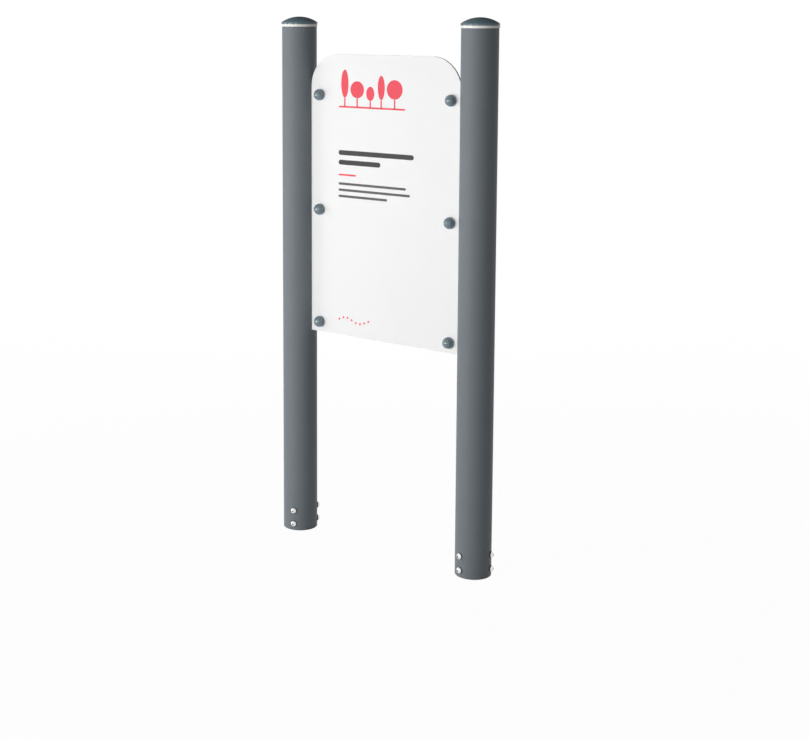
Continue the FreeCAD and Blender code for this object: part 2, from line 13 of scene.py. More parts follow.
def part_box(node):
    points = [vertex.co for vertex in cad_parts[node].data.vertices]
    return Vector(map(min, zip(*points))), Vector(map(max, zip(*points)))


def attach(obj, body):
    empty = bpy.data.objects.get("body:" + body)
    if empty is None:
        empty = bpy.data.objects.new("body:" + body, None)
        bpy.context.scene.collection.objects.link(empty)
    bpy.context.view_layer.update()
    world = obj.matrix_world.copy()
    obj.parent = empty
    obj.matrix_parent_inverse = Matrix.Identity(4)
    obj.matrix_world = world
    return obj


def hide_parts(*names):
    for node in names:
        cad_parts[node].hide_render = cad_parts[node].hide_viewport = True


bl_info = {
    "name": "Park Interpretation Sign",
    "version": (1, 0, 0),
    "blender": (4, 5, 0),
    "location": "View3D > Sidebar > Park Sign",
    "description": "Builds the pieces, finishes and studio of a park interpretation sign",
    "category": "Add Mesh",
}

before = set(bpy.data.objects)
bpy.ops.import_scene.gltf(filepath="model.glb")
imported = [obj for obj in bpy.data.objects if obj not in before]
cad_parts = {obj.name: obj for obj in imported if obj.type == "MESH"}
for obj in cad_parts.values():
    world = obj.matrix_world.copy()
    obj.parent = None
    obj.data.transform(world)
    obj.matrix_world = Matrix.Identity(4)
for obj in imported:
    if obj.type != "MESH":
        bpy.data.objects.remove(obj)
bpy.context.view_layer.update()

BODY = "root"
SIDES = ("left", "right")
ROWS = ("bottom", "middle", "top")
FIXINGS = [(side, row) for side in SIDES for row in ROWS]  # where bolts hold the board

MILLIMETRE = 0.001
FULL_TURN = 2 * math.pi
ROUND_STEPS = 96  # faces round a post cap
SMALL_STEPS = 48  # faces round a bolt cap, a screw and what else is small and round
ARC_STEPS = 14  # faces along a dome, from its edge to its middle
SHARP = math.radians(20)  # two faces that meet at more than this have an edge
CREASE = math.radians(40)  # and past this, the edge is not shaded smooth
MERGE_DISTANCE = 1e-7
OUT_OF_FRONT = Matrix.Rotation(math.pi / 2, 4, "X")  # turns a piece's own Z to face -Y
HEXAGON = 6
DRILL_REACH = 1.0  # how far a drill goes past both faces of what it drills, in metres
NOISE_RANGE = (0.3, 0.7)  # most of a noise's values lie between these
MIX_SHARE, MIX_FIRST, MIX_SECOND, MIX_RESULT = 0, 6, 7, 2  # sockets of a colour mix, by number


# Colours and sizes


def linear(colour):
    """Turns an sRGB hex colour to linear values, by the sRGB standard's own formula."""
    values = [int(colour[start : start + 2], 16) / 255 for start in (1, 3, 5)]
    return tuple(v / 12.92 if v <= 0.04045 else ((v + 0.055) / 1.055) ** 2.4 for v in values)


def length(name, description, millimetres):
    """A property that holds a length."""
    return bpy.props.FloatProperty(
        name=name,
        description=description,
        default=millimetres * MILLIMETRE,
        min=0,
        precision=5,
        subtype="DISTANCE",
        unit="LENGTH",
    )


def colour(name, description, default):
    """A property that holds a colour."""
    return bpy.props.FloatVectorProperty(
        name=name, description=description, default=linear(default), min=0, max=1, subtype="COLOR"
    )


def number(name, description, default, unit="NONE"):
    """A property that holds a plain number."""
    return bpy.props.FloatProperty(
        name=name, description=description, default=default, min=0, unit=unit
    )


def angle(name, description, degrees):
    """A property that holds an angle."""
    return bpy.props.FloatProperty(
        name=name,
        description=description,
        default=math.radians(degrees),
        subtype="ANGLE",
        unit="ROTATION",
    )


class SignColours(bpy.types.PropertyGroup):
    """Colours of the sign's finishes."""

    powder_coat: colour("Powder coat", "Posts and lugs", "#757C81")
    collar: colour("Collar", "Rings under the post caps", "#FBF8F3")
    # Painted light: the domes are lighter than the same plastic on the bolt caps and the dome lips,
    # standing in for light from above
    dome: colour("Dome", "Post caps", "#889FA9")
    bolt_cap: colour("Bolt cap", "Covers over the bolts, and the lips of the post caps", "#677C85")
    black_plastic: colour("Black plastic", "Saddle washers and cap seats", "#2E3032")
    board_coat: colour("Board coat", "Front and back of the board", "#F7F7F7")
    board_core: colour("Board core", "Sawn edge of the board", "#1E1E1F")
    zinc: colour("Zinc", "Footing inside the posts", "#A9ADAF")
    stainless: colour("Stainless steel", "Screws, bolts, washers and nuts", "#DEDDDB")
    # Painted shade: darker than the stainless steel of the heads, for the shade inside the sockets
    socket: colour("Socket", "Pressed sockets of the screws", "#B2B2B1")
    accent: colour("Accent print", "Trees, rule and trail on the board", "#F95B69")
    heading: colour("Heading print", "Heading bars on the board", "#4B4B4D")
    text: colour("Text print", "Text bars on the board", "#68686B")


class SignSizes(bpy.types.PropertyGroup):
    """Sizes of the sign's visible pieces."""

    collar_height: length("Collar height", "Height of the ring on a post", 6.9)
    collar_bore: length("Collar bore radius", "Radius inside the collar", 45.1)
    skirt_radius: length("Skirt radius", "Radius of the collar's skirt in the tube", 47.6)
    collar_edge: length("Collar edge", "Radius of the collar's outer edges", 0.8)
    dome_lip: length("Dome lip", "Height of the straight lip under a post cap", 5)
    dome_wall: length("Dome wall", "Wall of a post cap", 3)
    plug_radius: length("Plug radius", "Radius of the cap's plug in the collar", 44.9)
    plug_bore: length("Plug bore radius", "Radius inside the cap's plug", 42.9)
    bolt_cap_lip: length("Bolt cap lip", "Height of the straight lip of a bolt cap", 3.6)
    bolt_cap_wall: length("Bolt cap wall", "Wall of a bolt cap", 1.3)
    moulded_edge: length("Moulded edge", "Radius of the edges of moulded caps", 0.5)
    board_corner: length("Board corner", "Radius of the board's top corners", 95.5)
    board_edge: length("Board edge", "Radius of the skins' edges", 0.12)
    board_hole: length("Board hole radius", "Radius of the board's bolt holes", 4.5)
    lug_corner: length("Lug corner", "Radius of a lug's free corners", 12)
    lug_edge: length("Lug edge", "Radius of a lug's ground edges", 0.6)
    lug_hole: length("Lug hole radius", "Radius of a lug's bolt hole", 4.5)
    weld_radius: length("Weld radius", "Half width of a weld bead", 2.4)
    weld_pitch: length("Weld pitch", "Distance between a weld's ripples", 2.1)
    washer_bore: length("Washer bore radius", "Radius of a rear washer's hole", 4.2)
    steel_edge: length("Steel edge", "Radius of the edges of small steel parts", 0.25)
    nut_hexagon: length("Nut hexagon height", "Height of a dome nut's hexagon", 6.5)
    nut_width: length("Nut width", "Width across a dome nut's flats", 13)
    nut_neck: length("Nut neck height", "Height of the neck under a nut's dome", 1.5)
    nut_crown: length("Nut crown radius", "Radius of a nut's dome", 6)
    nut_bore: length("Nut bore radius", "Radius of a nut's threaded hole", 4.05)
    nut_bore_depth: length("Nut bore depth", "Depth of a nut's threaded hole", 10)
    screw_low: length("Screw height", "Height of the low row of base screws", 20.5)
    screw_pitch: length("Screw row pitch", "Distance between the rows of base screws", 40.5)
    screw_shank: length("Screw shank radius", "Radius of a base screw's shank", 5)
    screw_point: length("Screw point", "Chamfer at the end of a base screw", 1)
    screw_tip: length("Screw tip radius", "Distance of a screw's end from the post's axis", 33.4)
    screw_seat: length("Screw seat radius", "Distance of a screw's head from the post's axis", 52.8)
    screw_head: length("Screw head radius", "Radius of a base screw's head", 8.75)
    screw_rise: length("Screw head height", "Height of a base screw's head", 5.5)
    screw_crown: length("Screw crown radius", "Radius of the flat on a screw's head", 4)
    socket_width: length("Socket width", "Width across a screw socket's flats", 6)
    socket_depth: length("Socket depth", "Depth of a screw's socket", 3.1)
    screw_turn: angle("Screw turn", "Turn of a post's first column of screws", 15)
    print_film: length("Print film", "How far the print stands off the board", 0.08)


# Meshes


def ball_radius(radius, rise):
    """The radius of the ball that a dome with this radius and height is cut from."""
    return (radius**2 + rise**2) / (2 * rise)


def draw_section(bm, moves, closed=False):
    """Draws a section in the XZ plane, right of the Z axis.

    A move is a point, across and up, with the height of a ball's centre on the axis as its
    third number where the way there runs round that ball.
    """
    across, up = moves[0]
    first = last = bm.verts.new((across, 0, up))
    for across, up, *ball in moves[1:]:
        if not ball:
            vertex = bm.verts.new((across, 0, up))
            bm.edges.new((last, vertex))
            last = vertex
            continue
        start = math.atan2(last.co.x, last.co.z - ball[0])
        made = bmesh.ops.spin(
            bm,
            geom=[last],
            cent=(0, 0, ball[0]),
            axis=(0, 1, 0),
            angle=math.atan2(across, up - ball[0]) - start,
            steps=ARC_STEPS,
        )
        last = next(item for item in made["geom_last"] if isinstance(item, bmesh.types.BMVert))
    if closed:
        bm.edges.new((last, first))


def turn_section(bm, steps):
    """Turns a section a full turn about the Z axis and closes its seam and poles."""
    bmesh.ops.spin(
        bm,
        geom=bm.verts[:] + bm.edges[:],
        cent=(0, 0, 0),
        axis=(0, 0, 1),
        angle=FULL_TURN,
        steps=steps,
        use_merge=True,
    )
    bmesh.ops.remove_doubles(bm, verts=bm.verts, dist=MERGE_DISTANCE)
    bmesh.ops.recalc_face_normals(bm, faces=bm.faces)


def turned(moves, steps=SMALL_STEPS, closed=False):
    """Makes the mesh of a round piece from its section."""
    bm = bmesh.new()
    draw_section(bm, moves, closed)
    turn_section(bm, steps)
    return bm


def soften(bm, radius, segments=2, chosen=None):
    """Rounds the sharp edges of a mesh, or those of them that are chosen."""
    edges = [
        edge
        for edge in bm.edges
        if edge.is_manifold and edge.calc_face_angle() > SHARP and (not chosen or chosen(edge))
    ]
    bmesh.ops.bevel(
        bm,
        geom=edges,
        offset=radius,
        offset_type="OFFSET",
        segments=segments,
        profile=0.5,
        affect="EDGES",
        clamp_overlap=True,
        material=-1,
    )


def move(bm, place):
    """Moves or turns a whole mesh."""
    bmesh.ops.transform(bm, matrix=place, verts=bm.verts)
    return bm


def gather(meshes):
    """Puts several meshes in one, as separate solids."""
    whole = bmesh.new()
    for bm in meshes:
        held = bpy.data.meshes.new("held")
        bm.to_mesh(held)
        bm.free()
        whole.from_mesh(held)
        bpy.data.meshes.remove(held)
    return whole


def carve(bm, tool, operation="DIFFERENCE"):
    """Cuts a mesh by another, or keeps what they share."""
    objects = []
    for part in (bm, tool):
        mesh = bpy.data.meshes.new("carved")
        part.to_mesh(mesh)
        part.free()
        objects.append(bpy.data.objects.new("carved", mesh))
        bpy.context.scene.collection.objects.link(objects[-1])
    cut = objects[0].modifiers.new("Cut", "BOOLEAN")
    cut.operation = operation
    cut.solver = "EXACT"
    cut.object = objects[1]
    graph = bpy.context.evaluated_depsgraph_get()
    result = bmesh.new()
    result.from_object(objects[0], graph)
    for item in objects:
        mesh = item.data
        bpy.data.objects.remove(item)
        bpy.data.meshes.remove(mesh)
    return result


def rectangle(left, bottom, right, top):
    """The corners of an upright rectangle, from the lower left one round."""
    return [(left, bottom), (right, bottom), (right, top), (left, top)]


def flat_shape(bm, corners, rounded=(), radius=0.0, segments=8):
    """Makes a flat face in the XZ plane, with the corners numbered in rounded made round."""
    vertices = [bm.verts.new((across, 0, up)) for across, up in corners]
    bm.faces.new(vertices)
    if rounded:
        bmesh.ops.bevel(
            bm,
            geom=[vertices[index] for index in rounded],
            offset=radius,
            offset_type="OFFSET",
            segments=segments,
            profile=0.5,
            affect="VERTICES",
            material=-1,
        )


def thicken(bm, front, back):
    """Gives flat faces in the XZ plane a thickness, from a front to a back along Y."""
    bmesh.ops.translate(bm, vec=(0, front, 0), verts=bm.verts)
    made = bmesh.ops.extrude_face_region(bm, geom=bm.faces[:], use_keep_orig=True)
    raised = [item for item in made["geom"] if isinstance(item, bmesh.types.BMVert)]
    bmesh.ops.translate(bm, vec=(0, back - front, 0), verts=raised)
    bmesh.ops.recalc_face_normals(bm, faces=bm.faces)


def drills(places, radius, front, back):
    """Makes one round drill along Y for each place, across and up, past a front and a back."""
    bm = bmesh.new()
    for across, up in places:
        place = Matrix.Translation((across, (front + back) / 2, up)) @ OUT_OF_FRONT
        bmesh.ops.create_cone(
            bm,
            cap_ends=True,
            segments=SMALL_STEPS,
            radius1=radius,
            radius2=radius,
            depth=back - front + 2 * DRILL_REACH,
            matrix=place,
        )
    return bm


def add_piece(name, bm, finish, nodes, second_finish=None):
    """Adds a piece to the sign in place of the CAD nodes that it stands for.

    Faces whose material is number 1 take the second finish.
    """
    mesh = bpy.data.meshes.new(name)
    bm.to_mesh(mesh)
    bm.free()
    mesh.shade_smooth()
    mesh.set_sharp_from_angle(angle=CREASE)
    mesh.materials.append(finish)
    if second_finish:
        mesh.materials.append(second_finish)
    piece = bpy.data.objects.new(name, mesh)
    bpy.context.scene.collection.objects.link(piece)
    shading = piece.modifiers.new("Flat faces stay flat", "WEIGHTED_NORMAL")
    shading.keep_sharp = True
    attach(piece, BODY)
    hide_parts(*nodes)


def dress(node, finish):
    """Gives a CAD node its finish."""
    for material_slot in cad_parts[node].material_slots:
        material_slot.material = finish


def middle(node):
    """The middle of a CAD node's box."""
    low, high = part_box(node)
    return (low + high) / 2


# Finishes


def per_metre(millimetres):
    """The scale of a pattern whose grain has a size in millimetres."""
    return 1 / (millimetres * MILLIMETRE)


def shade(colour_value, amount):
    """A colour made lighter or darker."""
    return (*(min(1.0, channel * amount) for channel in colour_value), 1.0)


def add_node(finish, kind, settings=None, sockets=None):
    """Adds a node with its settings, and sets or links its sockets."""
    node = finish.node_tree.nodes.new(kind)
    for name, value in (settings or {}).items():
        setattr(node, name, value)
    for name, value in (sockets or {}).items():
        if isinstance(value, bpy.types.NodeSocket):
            finish.node_tree.links.new(value, node.inputs[name])
        else:
            node.inputs[name].default_value = value
    return node


def new_finish(name):
    """Starts a material with no nodes and returns it with the piece's own coordinates."""
    finish = bpy.data.materials.new(name)
    finish.use_nodes = True
    finish.node_tree.nodes.clear()
    return finish, add_node(finish, "ShaderNodeTexCoord").outputs["Object"]


def surface(
    finish,
    colour_value,
    cloud,
    contrast,
    grit,
    roughness,
    relief,
    depth,
    shine=0.5,
    metallic=0.0,
    cloud_range=NOISE_RANGE,
):
    """Closes a finish by its patterns: cloud for colour, grit for roughness, and relief.

    The cloud makes the colour darker and lighter by the contrast, the grit spreads the
    roughness over its two numbers, and the relief has its depth in millimetres.
    """
    lightness, gloss = (
        add_node(
            finish,
            "ShaderNodeMapRange",
            sockets={
                "Value": pattern,
                "From Min": start,
                "From Max": end,
                "To Min": low,
                "To Max": high,
            },
        ).outputs["Result"]
        for pattern, (start, end), (low, high) in (
            (cloud, cloud_range, (0, 1)),
            (grit, NOISE_RANGE, roughness),
        )
    )
    base = add_node(
        finish,
        "ShaderNodeMix",
        {"data_type": "RGBA"},
        {
            MIX_SHARE: lightness,
            MIX_FIRST: shade(colour_value, 1 - contrast),
            MIX_SECOND: shade(colour_value, 1 + contrast),
        },
    )
    bump = add_node(
        finish,
        "ShaderNodeBump",
        sockets={"Strength": 1.0, "Distance": depth * MILLIMETRE, "Height": relief},
    )
    shader = add_node(
        finish,
        "ShaderNodeBsdfPrincipled",
        sockets={
            "Base Color": base.outputs[MIX_RESULT],
            "Roughness": gloss,
            "Normal": bump.outputs["Normal"],
            "Specular IOR Level": shine,
            "Metallic": metallic,
        },
    )
    add_node(
        finish, "ShaderNodeOutputMaterial", sockets={"Surface": shader.outputs["BSDF"]}
    )
    return finish


def powder_coat(colour_value):
    """Satin polyester powder, sprayed and baked: a soft broad highlight over fine orange peel."""
    finish, point = new_finish("satin_powder_coat")
    cloud = add_node(
        finish, "ShaderNodeTexNoise", sockets={"Vector": point, "Scale": per_metre(70), "Detail": 3}
    )
    peel = add_node(
        finish, "ShaderNodeTexNoise", sockets={"Vector": point, "Scale": per_metre(1.8)}
    )
    grit = add_node(
        finish, "ShaderNodeTexNoise", sockets={"Vector": point, "Scale": per_metre(0.4)}
    )
    return surface(
        finish,
        colour_value,
        cloud=cloud.outputs["Fac"],
        contrast=0.015,
        grit=grit.outputs["Fac"],
        roughness=(0.47, 0.53),
        relief=peel.outputs["Fac"],
        depth=0.02,
        shine=0.2,
    )


def moulded_plastic(name, colour_value, roughness, texture, shine):
    """Injection-moulded plastic: an even colour with faint flow marks, and its mould's texture.

    The texture is the grain of the mould in millimetres.
    """
    finish, point = new_finish(name)
    flow = add_node(
        finish, "ShaderNodeTexNoise", sockets={"Vector": point, "Scale": per_metre(18), "Detail": 3}
    )
    spark = add_node(
        finish, "ShaderNodeTexNoise", sockets={"Vector": point, "Scale": per_metre(texture)}
    ).outputs["Fac"]
    return surface(
        finish,
        colour_value,
        cloud=flow.outputs["Fac"],
        contrast=0.02,
        grit=spark,
        roughness=(roughness - 0.02, roughness + 0.02),
        relief=spark,
        depth=0.008,
        shine=shine,
    )


def coil_coat(colour_value):
    """White polyester coil coat on aluminium sheet: smooth and even, with a low sheen."""
    finish, point = new_finish("white_coil_coat")
    cloud = add_node(
        finish, "ShaderNodeTexNoise", sockets={"Vector": point, "Scale": per_metre(120)}
    )
    peel = add_node(
        finish, "ShaderNodeTexNoise", sockets={"Vector": point, "Scale": per_metre(2.5)}
    ).outputs["Fac"]
    return surface(
        finish,
        colour_value,
        cloud=cloud.outputs["Fac"],
        contrast=0.004,
        grit=peel,
        roughness=(0.42, 0.46),
        relief=peel,
        depth=0.006,
        shine=0.3,
    )


def sawn_core(colour_value):
    """Black polyethylene between the skins, cut by a router: fine lines across its edge."""
    finish, point = new_finish("routed_black_polyethylene")
    drawn_out = add_node(
        finish, "ShaderNodeMapping", sockets={"Vector": point, "Scale": (1, 0.02, 1)}
    )
    lines = add_node(
        finish,
        "ShaderNodeTexNoise",
        sockets={"Vector": drawn_out.outputs["Vector"], "Scale": per_metre(0.8), "Detail": 3},
    ).outputs["Fac"]
    return surface(
        finish,
        colour_value,
        cloud=lines,
        contrast=0.2,
        grit=lines,
        roughness=(0.5, 0.65),
        relief=lines,
        depth=0.06,
    )


def hot_dip_zinc(colour_value):
    """Hot-dip galvanised steel: dull grey zinc in spangles some 8 mm wide."""
    finish, point = new_finish("hot_dip_zinc")
    spangle = add_node(
        finish, "ShaderNodeTexVoronoi", sockets={"Vector": point, "Scale": per_metre(8)}
    )
    value = add_node(
        finish, "ShaderNodeSeparateColor", sockets={"Color": spangle.outputs["Color"]}
    ).outputs["Red"]
    frost = add_node(
        finish, "ShaderNodeTexNoise", sockets={"Vector": point, "Scale": per_metre(1.2)}
    )
    return surface(
        finish,
        colour_value,
        cloud=value,
        contrast=0.12,
        grit=value,
        roughness=(0.42, 0.55),
        relief=frost.outputs["Fac"],
        depth=0.02,
        metallic=1.0,
        cloud_range=(0, 1),
    )


def polished_stainless(colour_value):
    """Polished stainless steel: bright mirror-like reflections, softened by hairline marks."""
    finish, point = new_finish("polished_stainless_steel")
    drawn_out = add_node(
        finish, "ShaderNodeMapping", sockets={"Vector": point, "Scale": (1, 1, 0.08)}
    )
    hairlines = add_node(
        finish,
        "ShaderNodeTexNoise",
        sockets={"Vector": drawn_out.outputs["Vector"], "Scale": per_metre(0.25), "Detail": 3},
    ).outputs["Fac"]
    return surface(
        finish,
        colour_value,
        cloud=hairlines,
        contrast=0.03,
        grit=hairlines,
        roughness=(0.07, 0.12),
        relief=hairlines,
        depth=0.004,
        metallic=1.0,
    )


def shaded_socket_steel(colour_value):
    """Stainless steel in a cold-pressed socket: duller and rougher than the head, with the punch's
    marks; its darker colour is painted shade in the recess.
    """
    finish, point = new_finish("socket_steel_with_painted_shade")
    drag = add_node(
        finish, "ShaderNodeTexNoise", sockets={"Vector": point, "Scale": per_metre(0.3)}
    ).outputs["Fac"]
    return surface(
        finish,
        colour_value,
        cloud=drag,
        contrast=0.1,
        grit=drag,
        roughness=(0.45, 0.6),
        relief=drag,
        depth=0.01,
        metallic=1.0,
    )


def printed_film(name, colour_value):
    """Cast vinyl film: an even ink colour with a faint calendered grain and hardly any shine."""
    finish, point = new_finish(name)
    calender = add_node(
        finish, "ShaderNodeTexNoise", sockets={"Vector": point, "Scale": per_metre(0.6)}
    ).outputs["Fac"]
    return surface(
        finish,
        colour_value,
        cloud=calender,
        contrast=0.015,
        grit=calender,
        roughness=(0.42, 0.48),
        relief=calender,
        depth=0.004,
        shine=0.1,
    )


# Operators


class PARKSIGN_OT_posts(bpy.types.Operator):
    """Finish the post tubes and the footings inside them"""

    bl_idname = "park_sign.posts"
    bl_label = "Posts and footings"

    def execute(self, context):
        colours = context.scene.sign_colours
        coat = powder_coat(colours.powder_coat)
        zinc = hot_dip_zinc(colours.zinc)
        for side in SIDES:
            dress(f"{side}_post_tube", coat)
            for part in ("footing_sleeve", "footing_plate", "base_nuts"):
                dress(f"{side}_{part}", zinc)
        return {"FINISHED"}


class PARKSIGN_OT_collars(bpy.types.Operator):
    """Make the pale ring on top of each post, with its skirt in the tube"""

    bl_idname = "park_sign.collars"
    bl_label = "Post collars"

    def execute(self, context):
        sizes = context.scene.sign_sizes
        # Polyamide from a polished mould: nearly white, with small clear highlights
        finish = moulded_plastic(
            "moulded_pale_polyamide",
            context.scene.sign_colours.collar,
            roughness=0.1,
            texture=0.5,
            shine=0.3,
        )
        for side in SIDES:
            node = f"{side}_cap_collar"
            low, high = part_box(node)
            radius = (high.x - low.x) / 2
            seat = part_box(f"{side}_post_tube")[1].z
            # The ring is 1.3 mm lower than its CAD solid, and the dome's lip as much longer
            top = seat + sizes.collar_height
            section = [
                (sizes.skirt_radius, low.z),
                (sizes.skirt_radius, seat),
                (radius, seat),
                (radius, top),
                (sizes.collar_bore, top),
                (sizes.collar_bore, low.z),
            ]
            bm = turned(section, ROUND_STEPS, closed=True)
            soften(
                bm,
                sizes.collar_edge,
                segments=4,
                chosen=lambda edge: all(
                    math.hypot(v.co.x, v.co.y) > radius - MERGE_DISTANCE for v in edge.verts
                ),
            )
            move(bm, Matrix.Translation((middle(node).x, 0, 0)))
            add_piece(f"{side}_collar", bm, finish, [node])
        return {"FINISHED"}


class PARKSIGN_OT_domes(bpy.types.Operator):
    """Make the dome that closes each post, with its plug in the collar"""

    bl_idname = "park_sign.domes"
    bl_label = "Post domes"

    SIDEWAYS = 0.5  # a face whose normal has less height than this belongs to the lip

    def execute(self, context):
        sizes = context.scene.sign_sizes
        colours = context.scene.sign_colours
        # Polyamide from a sanded mould: dark and matt, shaded softly and without a highlight; its
        # colour is painted lighter than the same plastic on the lip and the bolt caps, as painted
        # light from above
        finish = moulded_plastic(
            "moulded_matt_polyamide_painted_light", colours.dome, roughness=0.4, texture=0.5, shine=0.0
        )
        # The same plastic where its mould is polished: small clear highlights round the lip
        polished = moulded_plastic(
            "moulded_polished_polyamide",
            colours.bolt_cap,
            roughness=0.08,
            texture=0.5,
            shine=0.3,
        )
        for side in SIDES:
            node = f"{side}_cap_dome"
            low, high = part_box(node)
            radius = (high.x - low.x) / 2
            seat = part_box(f"{side}_post_tube")[1].z + sizes.collar_height
            lip = seat + sizes.dome_lip
            rise = high.z - lip
            ball = ball_radius(radius, rise)
            centre = high.z - ball
            inside = math.sqrt((ball - sizes.dome_wall) ** 2 - sizes.plug_bore**2)
            section = [
                (0, high.z - sizes.dome_wall),
                (sizes.plug_bore, centre + inside, centre),
                (sizes.plug_bore, low.z),
                (sizes.plug_radius, low.z),
                (sizes.plug_radius, seat),
                (radius, seat),
                (radius, lip),
                (0, high.z, centre),
            ]
            bm = turned(section, ROUND_STEPS)
            soften(bm, sizes.moulded_edge, segments=3)
            # After the edges are rounded, because a bevel's middle strip takes either material
            for face in bm.faces:
                spot = face.calc_center_median()
                outside = math.hypot(spot.x, spot.y) > sizes.plug_radius
                if outside and spot.z > seat and abs(face.normal.z) < self.SIDEWAYS:
                    face.material_index = 1
            move(bm, Matrix.Translation((middle(node).x, 0, 0)))
            add_piece(f"{side}_dome", bm, finish, [node], polished)
        return {"FINISHED"}


class PARKSIGN_OT_board(bpy.types.Operator):
    """Make the board: a black core between two white skins, drilled for its bolts"""

    bl_idname = "park_sign.board"
    bl_label = "Board"

    TOP_CORNERS = (2, 3)
    CORNER_STEPS = 32

    def execute(self, context):
        sizes = context.scene.sign_sizes
        colours = context.scene.sign_colours
        coat = coil_coat(colours.board_coat)
        core = sawn_core(colours.board_core)
        bolts = [middle(f"{side}_{row}_board_bolt") for side, row in FIXINGS]
        places = [(bolt.x, bolt.z) for bolt in bolts]
        for node, finish, slot, edge in (
            ("board_front_skin", coat, "board_paint", sizes.board_edge),
            ("board_core", core, "board_core", 0),
            ("board_back_skin", coat, "board_paint", sizes.board_edge),
        ):
            low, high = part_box(node)
            bm = bmesh.new()
            flat_shape(
                bm,
                rectangle(low.x, low.z, high.x, high.z),
                self.TOP_CORNERS,
                sizes.board_corner,
                segments=self.CORNER_STEPS,
            )
            thicken(bm, low.y, high.y)
            if edge:
                soften(bm, edge)
            bm = carve(bm, drills(places, sizes.board_hole, low.y, high.y))
            add_piece(node.replace("board_", "board_sheet_"), bm, finish, [node])
        return {"FINISHED"}


class PARKSIGN_OT_print(bpy.types.Operator):
    """Lay the printed film on the board: a row of trees, heading and text bars, a rule, a trail"""

    bl_idname = "park_sign.print"
    bl_label = "Print on the board"

    # Sizes are in millimetres
    MARGIN = -158  # left edge of the print, across
    TREES = (  # across from the margin, height of the crown's middle, half width, half height
        (22, 66, 13, 40),
        (66, 50, 24, 24),
        (112, 40, 14, 20),
        (150, 58, 12, 34),
        (196, 54, 27, 27),
    )
    GROUND = 1282  # height of the line that the trees stand on
    GROUND_LENGTH = 232
    GROUND_THICKNESS = 5
    TRUNK_THICKNESS = 5
    # Bars, each with its height on the sign, length and thickness
    RULES = ((1086, 62, 5),)
    HEADINGS = ((1150, 262, 14), (1122, 148, 14))
    TEXTS = ((1060, 236, 7), (1042, 250, 7), (1024, 172, 7))
    TRAIL_HEIGHT = 662
    TRAIL_STEP = 15  # from dot to dot
    TRAIL_DOTS = 8
    TRAIL_SWING = 7  # how far the trail winds up and down
    TRAIL_DOT = 3.2  # radius
    END_SHARE = 0.98  # of half a bar's thickness, so that the rounded corners don't meet
    FILM_SINK = 0.25  # of the film's thickness, sunk in the board so that no gap shows

    def bar(self, bm, left, up, width, thickness):
        """A bar with round ends."""
        half = thickness / 2
        ends = min(width, thickness) / 2
        corners = rectangle(left, up - half, left + width, up + half)
        flat_shape(
            bm,
            [(x * MILLIMETRE, z * MILLIMETRE) for x, z in corners],
            range(len(corners)),
            ends * self.END_SHARE * MILLIMETRE,
        )

    def disc(self, bm, across, up, half_width, half_height):
        """A filled oval."""
        place = (
            Matrix.Translation((across * MILLIMETRE, 0, up * MILLIMETRE))
            @ Matrix.Diagonal((half_width * MILLIMETRE, 1, half_height * MILLIMETRE, 1))
            @ OUT_OF_FRONT
        )
        bmesh.ops.create_circle(bm, cap_ends=True, segments=SMALL_STEPS, radius=1, matrix=place)

    def lay(self, name, bm, finish, film):
        """Gives the film its thickness on the board's front face."""
        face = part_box("board_front_skin")[0].y
        thicken(bm, face - film, face + film * self.FILM_SINK)
        add_piece(name, bm, finish, [])

    def lay_bars(self, name, bars, finish, film):
        """Lays bars that start at the margin, as one piece."""
        bm = bmesh.new()
        for up, width, thickness in bars:
            self.bar(bm, self.MARGIN, up, width, thickness)
        self.lay(name, bm, finish, film)

    def execute(self, context):
        colours = context.scene.sign_colours
        film = context.scene.sign_sizes.print_film
        accent = printed_film("coral_print_film", colours.accent)

        trees = bmesh.new()
        self.bar(trees, self.MARGIN, self.GROUND, self.GROUND_LENGTH, self.GROUND_THICKNESS)
        for across, up, half_width, half_height in self.TREES:
            self.disc(trees, self.MARGIN + across, self.GROUND + up, half_width, half_height)
            trunk = up - half_height
            self.bar(
                trees,
                self.MARGIN + across - self.TRUNK_THICKNESS / 2,
                self.GROUND + trunk / 2,
                self.TRUNK_THICKNESS,
                trunk,
            )
        self.lay("print_trees", trees, accent, film)

        self.lay_bars("print_rule", self.RULES, accent, film)

        trail = bmesh.new()
        for dot in range(self.TRAIL_DOTS):
            across = self.MARGIN + self.TRAIL_DOT + dot * self.TRAIL_STEP
            up = self.TRAIL_HEIGHT + self.TRAIL_SWING * math.sin(dot)
            self.disc(trail, across, up, self.TRAIL_DOT, self.TRAIL_DOT)
        self.lay("print_trail", trail, accent, film)

        heading = printed_film("heading_print_film", colours.heading)
        self.lay_bars("print_heading", self.HEADINGS, heading, film)
        text = printed_film("text_print_film", colours.text)
        self.lay_bars("print_text", self.TEXTS, text, film)
        return {"FINISHED"}


